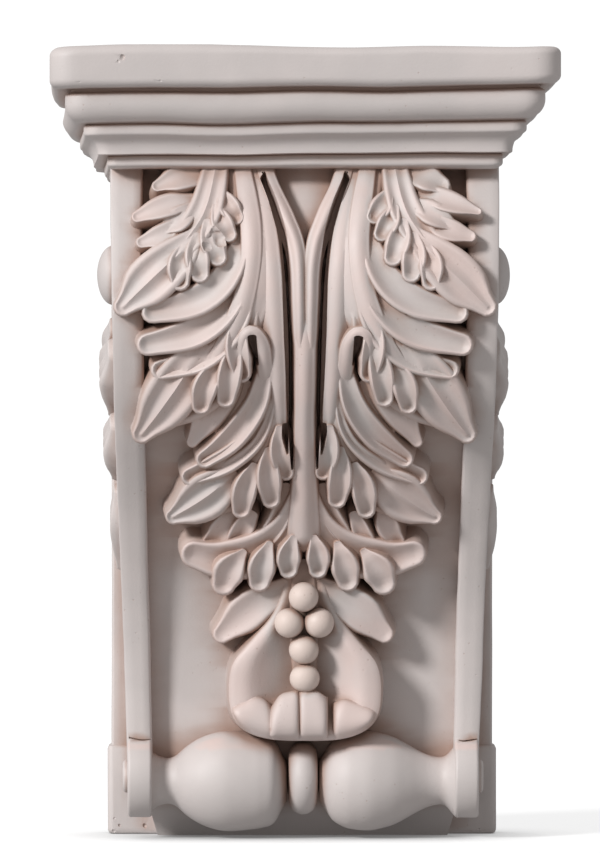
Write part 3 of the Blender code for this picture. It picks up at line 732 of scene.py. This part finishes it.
def lip_rings(left, right, tops, front, steps=18):
    """Sections of a tongue from left to right. Its corners are rounded off at both ends."""
    rings = []
    for share in np.linspace(0, 1, steps + 1):
        across = left + (right - left) * share
        low, high = float(lower_edge(across)), float(ease(tops, share))
        rounding = LIP_CORNER * (1 - math.sqrt(1 - min(abs(2 * share - 1), 0.985) ** 6))
        middle = low + 0.4 * (high - low)
        section = [(low + 1.5, -ROOT_DEPTH), (low, LIP_FOOT - rounding)]
        for angle in np.linspace(-50, 100, 15):
            swing = math.radians(angle)
            reach_up = (high - middle) if angle > 0 else (middle - low)
            out = front - LIP_ROLL + LIP_ROLL * math.cos(swing) - rounding
            section.append((middle + reach_up * math.sin(swing), out))
        section += [(high - 2.0, front - 1.7 * LIP_ROLL), (high - 4.0, -ROOT_DEPTH)]
        rings.append([on_face(np.array(across), np.array(up), np.array(front), np.array(height))
                      for up, height in section])
    return rings


for tongue in lip:
    skin("lip", lip_rings(*tongue), open_ends=True)
print("tongues along the lip:", len(lip))

# %% [markdown]
# ## The sides
#
# Each side carries a round boss, the eye of a large scroll, and four plain lobes below it. Only their
# outlines show from the front, so the sides are kept simpler.

# %% Side boss and side leaf
BOSS_UP = 286.5
BOSS_DEPTH = 94.0
BOSS_RADIUS = 15.0
BOSS_OUT = 8.0
side_leaf = (
    (((118, 248), (105, 238), (88, 216)), (7, 11, 9, 4), (3, 7.5, 7, 4), 2.0, 0, 1),
    (((112, 212), (100, 200), (86, 184)), (6, 9, 8, 3), (3, 6.5, 6, 3), 1.8, 0, 1),
    (((102, 260), (86, 248), (64, 236)), (6, 8, 7, 3), (2, 6, 6, 3), 1.8, 0, 0),
    (((100, 178), (90, 160), (74, 138)), (5, 8, 6, 3), (2, 4.5, 4, 2), 1.4, 0, 1),
)
for side in (-1, 1):
    start = half_width(BOSS_UP)
    profile = [(start - 3, BOSS_RADIUS)]
    profile += [(start + BOSS_OUT * math.sin(a), BOSS_RADIUS * math.cos(a))
                for a in np.linspace(0, math.pi / 2, 14)[:-1]]
    profile.append((start + BOSS_OUT, 0.4))
    skin("boss", turned([(side * x, r) for x, r in profile], BOSS_UP, BOSS_DEPTH, 40), open_ends=True)
    for points, widths, heights, flute, tilt, ribs in side_leaf:
        rings = lobe_rings(points, widths, heights, on_side(side), flute, tilt, ribs, root=3.0, draft=1.5)
        skin("side lobe", rings)

# %% [markdown]
# ## Deep cuts and chips
#
# A carver opens dark channels where two leaves part: beside the stem, and in the teardrop eyes between
# lobes. They are lobes too, used as cutters. A thin cut marks the seam where each rim meets its scroll.
# Small rough balls cut the chips in the slab and the pits in the foot block, and larger ones cut where a
# tip of the carving has broken away.

# %% Channels and seams
def cutter_rings(points, widths, depth, place):
    return lobe_rings(points, widths, (depth,) * len(points), place, 0.0, root=2.4, draft=-0.6)


CHANNEL_HEIGHT = 22.0
channels = (
    (((21, 338), (15.6, 326), (11.2, 306), (9.4, 284), (8.7, 250), (7.8, 217), (6.8, 200), (6.3, 182)),
     (2.0, 2.5, 2.5, 2.5, 2.3, 2.1, 1.8, 1.0)),
    (((26.6, 252.5), (26, 245), (24, 235)), (2.6, 2.4, 1.4)),
    (((9.4, 203.6), (9.6, 198), (8.4, 190)), (2.2, 2.0, 1.0)),
)
for side in (-1, 1):
    for points, widths in channels:
        skin("channel", cutter_rings(points, widths, CHANNEL_HEIGHT, mirrored(on_face, side)), cuts)

seams = (((-88.4, 51.4), (-82, 50.2), (-76.6, 50.6)), ((88.4, 50.6), (82, 49.8), (79, 50.2)))
for points in seams:
    rings = lobe_rings(points, (0.5, 0.5, 0.3), (3.0, 3.0, 3.0), on_face, 0.0, root=0.9, draft=-0.2)
    skin("seam", rings, cuts)

# %% Chips, pits and breaks
SLAB_FACE = CAP_DEPTH + SLAB_OUT
FOOT_FACE = PLATE_DEPTH + FOOT_STEP
chips = ((-91, 394, SLAB_FACE, 1.6, 0.9), (-93, 392, SLAB_FACE, 1.0, 0.5), (-112, 381.5, SLAB_FACE, 1.3, 0.6),
         (-110, 381, SLAB_FACE, 1.0, 0.5), (-74, 381.5, SLAB_FACE, 1.5, 0.6), (-72, 382, SLAB_FACE, 1.1, 0.5),
         (40, 399, SLAB_FACE, 1.6, 0.7), (-81, 4.1, FOOT_FACE, 1.2, 0.9), (-94, 4.4, FOOT_FACE, 0.8, 0.6),
         (-96.5, 8, FOOT_FACE, 0.7, 0.5), (-97, 1.0, FOOT_FACE, 1.6, 0.9), (91, 2.0, FOOT_FACE, 0.8, 0.5))
breaks = ((-43.5, 305.5, 15.5, 6.2), (-47.5, 300.5, 15.0, 4.0), (75.5, 237.6, 12.5, 1.7),
          (50, 266, 11.2, 1.0), (53.5, 262.5, 10.6, 0.8))


def rough_ball(name, centre, radius, fineness, scale, shift, unevenness):
    bm = bmesh.new()
    place = Matrix.Translation(Vector(centre))
    bmesh.ops.create_icosphere(bm, subdivisions=fineness, radius=radius, matrix=place)
    for vert in bm.verts:
        vert.co += noise.noise_vector(vert.co * scale + Vector(shift)) * radius * unevenness
    to_object(bm, name, cuts)


for number, (across, up, face, radius, depth) in enumerate(chips):
    centre = (across, -(face + radius - depth), up)
    rough_ball("chip", centre, radius, 3, 0.5, (number * 7.0, 0, 0), 0.3)
for number, (across, up, height, radius) in enumerate(breaks):
    rough_ball("break", proud_point(across, up, height), radius, 4, 0.3, (number * 5.0, 2, 0), 0.2)

# %% [markdown]
# ## Fusing
#
# A cast has one skin. The Boolean modifier joins a whole collection at once, and a second one takes the
# cutters away. What the modifiers give is kept as the mesh, and a hollow shut in between lobes, which would
# be a skin of its own, is filled.

# %% Fuse and cut
def boolean(obj, operation, collection):
    modifier = obj.modifiers.new(operation.title(), "BOOLEAN")
    modifier.operation = operation
    modifier.operand_type = "COLLECTION"
    modifier.collection = collection
    modifier.solver = "MANIFOLD"


def keep_modifiers(obj):
    evaluated = obj.evaluated_get(bpy.context.evaluated_depsgraph_get())
    shaped = bpy.data.meshes.new_from_object(evaluated)
    obj.modifiers.clear()
    obj.data = shaped


def connected_skins(bm):
    loose = set(bm.verts)
    skins = []
    while loose:
        front = [loose.pop()]
        members = list(front)
        while front:
            for edge in front.pop().link_edges:
                for other in edge.verts:
                    if other in loose:
                        loose.remove(other)
                        front.append(other)
                        members.append(other)
        skins.append(members)
    return skins


# %% One skin
boolean(corbel, "UNION", forms)
boolean(corbel, "DIFFERENCE", cuts)
keep_modifiers(corbel)
for obj in list(forms.objects) + list(cuts.objects):
    bpy.data.objects.remove(obj, do_unlink=True)
bm = bmesh.new()
bm.from_mesh(corbel.data)
skins = connected_skins(bm)
outer_skin = max(skins, key=len)
pockets = [vert for members in skins if members is not outer_skin for vert in members]
bmesh.ops.delete(bm, geom=pockets, context="VERTS")
bmesh.ops.triangulate(bm, faces=[face for face in bm.faces if len(face.verts) > 4])
print("fused:", len(bm.verts), "points,", len(skins) - 1, "pockets filled,",
      sum(len(face.verts) - 2 for face in bm.faces), "triangles")

# %% [markdown]
# ## Wander of the cast surface
#
# Plaster takes the mould's slack: edges wander by part of a millimetre and flat faces are never quite flat.
# The mouldings of the cap run a little out of level, its slab sags, and the return on its left hangs lower
# than the front. Slow noise moves every other point a little, less near the back, which lies against the
# wall. Nothing may pass the solid's own box, so every point is held inside it.

# %% Cap out of true
SLAB_WANDER = 1.3 * MILLIMETRE
MOULDING_SLANT = 0.012
MOULDING_WANDER = 1.2 * MILLIMETRE
RETURN_SAG = 5.0 * MILLIMETRE
RETURN_SPREAD = 2.2 * MILLIMETRE
SLAB_SHARE = 0.72
slab_top = float(high_corner[2])
body_top = slab_top - CAP_HEIGHT * MILLIMETRE


def lean_cap(point):
    """Moves a point of the cap. Its share of the cap's height says which mouldings it belongs to."""
    share = (point.z - body_top) / (slab_top - body_top)
    if 0 < share < 1:
        slant = math.sin(math.pi * share) ** 0.5
        point.z += MOULDING_SLANT * point.x * slant
        ripple = noise.noise(Vector((point.x * 19.0, point.y * 9.0, point.z * 30.0)))
        point.z += MOULDING_WANDER * ripple * slant
    if share > SLAB_SHARE:
        sag = noise.noise(Vector((point.x * 16.0, point.y * 5.0, 0.4))) - 0.35
        point.z += SLAB_WANDER * sag * (share - SLAB_SHARE) / (1 - SLAB_SHARE)
    behind = float(np.clip((point.y + CAP_DEPTH * MILLIMETRE - 0.018) / 0.024, 0, 1))
    left = float(np.clip((-point.x - 0.088) / 0.008, 0, 1))
    point.x -= RETURN_SPREAD * behind * left * float(np.interp(share, (-0.05, 0.12, 0.5, 0.62), (0, 1, 1, 0)))
    point.z -= RETURN_SAG * behind * left * float(np.interp(share, (-0.2, 0.05, 0.6, 0.95), (0, 1, 1, 0)))


print("left return hangs", RETURN_SAG / MILLIMETRE, "mm lower")

# %% Wander of every point
WANDER = 0.45 * MILLIMETRE
BACK_SHARE = 30 * MILLIMETRE
INSIDE = 2e-5
for vert in bm.verts:
    lean_cap(vert.co)
    held = min(1.0, max(0.0, -vert.co.y / BACK_SHARE))
    slow = noise.noise_vector(vert.co * 22.0)
    quick = noise.noise_vector(vert.co * 70.0 + Vector((5, 1, 3)))
    vert.co += (slow + quick * 0.35) * WANDER * held
    for axis in range(3):
        vert.co[axis] = min(max(vert.co[axis], low_corner[axis] + INSIDE), high_corner[axis] - INSIDE)
bm.normal_update()
print("surface wanders by up to", WANDER / MILLIMETRE, "mm")

# %% [markdown]
# ## How open each point is
#
# Recesses are painted browner and darker: painted shade, where less light reaches. Rays sent out from each
# point measure how much open sky it sees within a couple of centimetres. The share is stored as an
# attribute on the points, and the material reads it to paint the shade.

# %% Openness attribute
def sky_directions(number):
    """Directions spread evenly over a hemisphere round +Z."""
    golden = math.pi * (3 - math.sqrt(5))
    directions = []
    for k in range(number):
        height = (k + 0.5) / number
        radius = math.sqrt(1 - height * height)
        directions.append(Vector((radius * math.cos(k * golden), radius * math.sin(k * golden), height)))
    return directions


REACH = 22 * MILLIMETRE
LIFT = 0.6 * MILLIMETRE
rays = sky_directions(20)
tree = BVHTree.FromBMesh(bm)
openness = []
for vert in bm.verts:
    turn = vert.normal.to_track_quat("Z", "Y")
    start = vert.co + vert.normal * LIFT
    seen = 0.0
    for ray in rays:
        hit = tree.ray_cast(start, turn @ ray, REACH)[3]
        seen += 1.0 if hit is None else hit / REACH
    openness.append(seen / len(rays))
print("openness from", round(min(openness), 2), "to", round(max(openness), 2))

# %% Even the openness out and store it
bm.verts.index_update()


def neighbours_mean(vert):
    return sum(openness[edge.other_vert(vert).index] for edge in vert.link_edges) / len(vert.link_edges)


for _ in range(2):
    openness = [0.5 * openness[vert.index] + 0.5 * neighbours_mean(vert) for vert in bm.verts]
bm.to_mesh(corbel.data)
bm.free()


def store(name, values):
    attribute = corbel.data.attributes.new(name, "FLOAT", "POINT")
    attribute.data.foreach_set("value", values)


store("openness", openness)
print("openness evened out over", len(openness), "points")

# %% Which points are carving, lobe walls to paint in shade, and berries
coordinates = np.zeros(3 * len(corbel.data.vertices))
corbel.data.vertices.foreach_get("co", coordinates)
drawn = coordinates.reshape(-1, 3) / MILLIMETRE + (0, 0, TOTAL_HEIGHT / 2)
up = drawn[:, 2]
below_cap = up < BODY_HEIGHT - 1
proud = -drawn[:, 1] - face_depth(np.clip(up, 0, BODY_HEIGHT))
carved = np.clip((proud - 0.6) / 2.0, 0, 1) * below_cap * (up > FOOT_HEIGHT)
normals = np.zeros(3 * len(corbel.data.vertices))
corbel.data.vertex_normals.foreach_get("vector", normals)
facing = -normals.reshape(-1, 3)[:, 1]
on_rim = (np.abs(drawn[:, 0]) > half_width(up) - rim_width(up) - 1) & (proud < 0.6)
to_berry = np.min([np.linalg.norm(drawn - centre, axis=1) for centre in berry_centres], axis=0)
berries = (to_berry < BERRY_RADIUS + 0.6).astype(float)
# Walls of the lobes that turn away from the front are marked for a painted shade.
walls = np.clip((0.8 - facing) / 0.5, 0, 1) * (proud > 1.0 - PANEL_RECESS) * ~on_rim
walls = walls * below_cap * (up > FOOT_HEIGHT + 10) * (1 - berries)
store("carved", carved)
store("berries", berries)
store("walls", walls)
print("share of points on carving:", round(float(carved.mean()), 2))

# %% Smooth shading
for polygon in corbel.data.polygons:
    polygon.use_smooth = True
corbel.data.set_sharp_from_angle(angle=math.radians(38))
print("triangles:", sum(len(polygon.vertices) - 2 for polygon in corbel.data.polygons))

# %% [markdown]
# ## The plaster
#
# The finish is a matte wash over plaster: warm pinkish grey on the crests, creamy on the berries, with faint
# mottling, a fine grain and scattered pinholes left by air in the mix. The hollows, the walls of the lobes
# and the pinholes are painted browner and darker: painted shade. A small class turns Python expressions into
# Math nodes, so that the masks can be read as formulas.

# %% Shader expressions
class Value:
    """Wraps a socket or a number. Operators add the Math nodes that compute them."""

    def __init__(self, tree, socket):
        self.tree = tree
        self.socket = socket

    def math(self, operation, *others):
        sockets = [other.socket if isinstance(other, Value) else other for other in others]
        node = self.node("ShaderNodeMath", {"operation": operation}, dict(enumerate([self.socket, *sockets])))
        return Value(self.tree, node.outputs[0])

    def node(self, kind, settings, inputs):
        made = self.tree.nodes.new(kind)
        for name, value in settings.items():
            if name == "stops":
                for element, (position, colour) in zip(made.color_ramp.elements, value):
                    element.position = position
                    element.color = colour
            else:
                setattr(made, name, value)
        for name, value in inputs.items():
            value = value.socket if isinstance(value, Value) else value
            if isinstance(value, bpy.types.NodeSocket):
                self.tree.links.new(value, made.inputs[name])
            else:
                made.inputs[name].default_value = value
        return made

    def __add__(self, other):
        return self.math("ADD", other)

    def __sub__(self, other):
        return self.math("SUBTRACT", other)

    def __mul__(self, other):
        return self.math("MULTIPLY", other)

    def __rsub__(self, other):
        return Value(self.tree, other).math("SUBTRACT", self)

    __radd__ = __add__
    __rmul__ = __mul__

    def between(self, low, high):
        """0 below low, 1 above high and smooth in between."""
        node = self.node("ShaderNodeMapRange", {"interpolation_type": "SMOOTHSTEP"},
                         {"Value": self, "From Min": low, "From Max": high})
        return Value(self.tree, node.outputs[0])


print("what a Value can do:", sorted(name for name in vars(Value) if not name.startswith("_")))

# %% Helpers of the plaster
material = bpy.data.materials.new("plaster")
material.use_nodes = True
nodes = material.node_tree
shader = nodes.nodes["Principled BSDF"]
start = Value(nodes, 0.0)
place = start.node("ShaderNodeTexCoord", {}, {}).outputs["Object"]


def grain(scale, detail=4.0, roughness=0.55):
    inputs = {"Vector": place, "Scale": scale, "Detail": detail, "Roughness": roughness}
    made = start.node("ShaderNodeTexNoise", {}, inputs)
    return Value(nodes, made.outputs[0])


def mix(factor, first, second):
    made = start.node("ShaderNodeMix", {"data_type": "RGBA"}, {0: factor, 6: first, 7: second})
    return made.outputs[2]


def stored(name):
    return Value(nodes, start.node("ShaderNodeAttribute", {"attribute_name": name}, {}).outputs["Fac"])


print("the plaster's shader:", shader.name)

# %% Colours of the plaster and where they lie
CREST = (0.552, 0.497, 0.480, 1.0)
WASH = (0.480, 0.441, 0.428, 1.0)
CARVED = (0.600, 0.487, 0.455, 1.0)
CREAM = (0.640, 0.530, 0.470, 1.0)
SAND = (0.520, 0.508, 0.500, 1.0)
# The last three colours are painted shade: down the walls of the lobes, in the hollows and pinholes, and
# darkest where a point is most closed in.
WALL_SHADE = (0.420, 0.305, 0.258, 1.0)
HOLLOW_SHADE = (0.34, 0.215, 0.165, 1.0)
DEEP_SHADE = (0.15, 0.088, 0.062, 1.0)
seen = stored("openness")
mottle = grain(18.0, 3.0).between(0.35, 0.65)
pink_mask = stored("carved") * (0.6 + 0.4 * grain(26.0, 3.0).between(0.6, 0.4))
sand_mask = stored("carved") * seen.between(0.97, 0.72) * grain(14.0, 2.0).between(0.42, 0.58)
# Painted shade: browner where a point sees less open sky, darkest where it sees least.
hollow_shade_mask = (seen + (grain(60.0) - 0.5) * 0.12).between(0.90, 0.46)
deep_shade_mask = seen.between(0.45, 0.12)
layers = ((mottle * 0.55, WASH), (pink_mask, CARVED), (sand_mask * 0.75, SAND),
          (stored("berries") * 0.7, CREAM), (stored("walls") * 0.6, WALL_SHADE), (hollow_shade_mask * 0.85, HOLLOW_SHADE),
          (deep_shade_mask * 0.85, DEEP_SHADE))
colour = CREST
for mask, tint in layers:
    colour = mix(mask, colour, tint)
print("colours laid over the crest colour:", len(layers))

# %% Pores, grain and sheen
pores = start.node("ShaderNodeTexVoronoi", {}, {"Vector": place, "Scale": 260.0}).outputs["Distance"]
pore_mask = Value(nodes, pores).between(0.16, 0.06) * grain(40.0).between(0.52, 0.66)
# Pinholes are darkened with the hollow colour: painted shade in the pits, over the bump that sinks them.
colour = mix(pore_mask * 0.35, colour, HOLLOW_SHADE)
relief = grain(900.0, 3.0) * 0.5 + grain(160.0) * 0.5 - pore_mask * 1.6
bump = start.node("ShaderNodeBump", {}, {"Height": relief, "Strength": 0.25, "Distance": 0.6 * MILLIMETRE})
rough = grain(30.0).between(0.3, 0.7) * 0.12 + 0.52
nodes.links.new(colour, shader.inputs["Base Color"])
nodes.links.new(bump.outputs[0], shader.inputs["Normal"])
nodes.links.new(rough.socket, shader.inputs["Roughness"])
corbel.data.materials.clear()
corbel.data.materials.append(material)
print("plaster nodes:", len(nodes.nodes))

# %% Hand the piece to the frame
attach(corbel, "root")
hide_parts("corbel")

# %% [markdown]
# ## Floor, light and camera
#
# The photo is a product shot: white all round, one soft light high on the left, and only a faint shadow on
# the white floor to the right. The paper glows towards the camera, less where something stands close over
# it, which draws the dark line under the foot. A long lens from four and a half metres keeps the cap and
# the foot nearly the same scale, as they are in the photo.

# %% White floor
PAPER = 0.40
PAPER_GLOW = 0.61
PAPER_BOUNCE = 0.09
bm = bmesh.new()
bmesh.ops.create_grid(bm, x_segments=1, y_segments=1, size=6.0)
bmesh.ops.translate(bm, verts=bm.verts, vec=(0, 0, float(low_corner[2])))
floor_mesh = bpy.data.meshes.new("floor")
bm.to_mesh(floor_mesh)
bm.free()
floor = bpy.data.objects.new("floor", floor_mesh)
bpy.context.scene.collection.objects.link(floor)
paper = bpy.data.materials.new("white paper")
paper.use_nodes = True
paper_shader = paper.node_tree.nodes["Principled BSDF"]
paper_shader.inputs["Base Color"].default_value = (PAPER, PAPER, PAPER, 1)
paper_shader.inputs["Roughness"].default_value = 0.9
paper_shader.inputs["Emission Color"].default_value = (1, 1, 1, 1)
bounce = Value(paper.node_tree, 0.0)
to_camera = Value(paper.node_tree, bounce.node("ShaderNodeLightPath", {}, {}).outputs["Is Camera Ray"])
# The paper's glow is scaled down where something stands close over it: a painted contact shadow under the
# foot.
contact_shadow_factor = bounce.node("ShaderNodeAmbientOcclusion", {"samples": 12}, {"Distance": 0.05}).outputs["AO"]
glow = to_camera * Value(paper.node_tree, contact_shadow_factor) * PAPER_GLOW + PAPER_BOUNCE
paper.node_tree.links.new(glow.socket, paper_shader.inputs["Emission Strength"])
floor.data.materials.append(paper)
print("floor at", round(float(low_corner[2]), 3), "m")

# %% Light
STUDIO_LIGHT = 0.45
STUDIO_GLOW = 0.6
world = bpy.data.worlds.new("white studio")
bpy.context.scene.world = world
world.use_nodes = True
studio = world.node_tree
background = studio.nodes["Background"]
background.inputs["Color"].default_value = (1, 1, 1, 1)
fill = Value(studio, 0.0)
to_camera = Value(studio, fill.node("ShaderNodeLightPath", {}, {}).outputs["Is Camera Ray"])
studio.links.new((to_camera * STUDIO_GLOW + STUDIO_LIGHT).socket, background.inputs["Strength"])
key_light = bpy.data.lights.new("key", "SUN")
key_light.energy = 3.2
key_light.angle = math.radians(12)
key = bpy.data.objects.new("key", key_light)
bpy.context.scene.collection.objects.link(key)
key.rotation_euler = Vector((-1, -0.95, 0.7)).to_track_quat("Z", "Y").to_euler()
bpy.context.scene.view_settings.view_transform = "Standard"
print("key light", round(math.degrees(key_light.angle)), "degrees wide")

# %% Camera
DISTANCE = 4.56
FOCAL_PIXELS = 8817
PHOTO_PIXELS = 853
camera_data = bpy.data.cameras.new("camera")
camera_data.sensor_width = 36
camera_data.lens = FOCAL_PIXELS * 36 / PHOTO_PIXELS
camera = bpy.data.objects.new("camera", camera_data)
bpy.context.scene.collection.objects.link(camera)
yaw = math.radians(0.6)
camera.location = (-DISTANCE * math.sin(yaw) - 0.0013, -DISTANCE * math.cos(yaw), 0.032)
aim = Vector((-0.0008, 0, 0.0095))
camera.rotation_euler = (aim - camera.location).to_track_quat("-Z", "Y").to_euler()
bpy.context.scene.camera = camera
print("lens", round(camera_data.lens), "mm at", DISTANCE, "m")
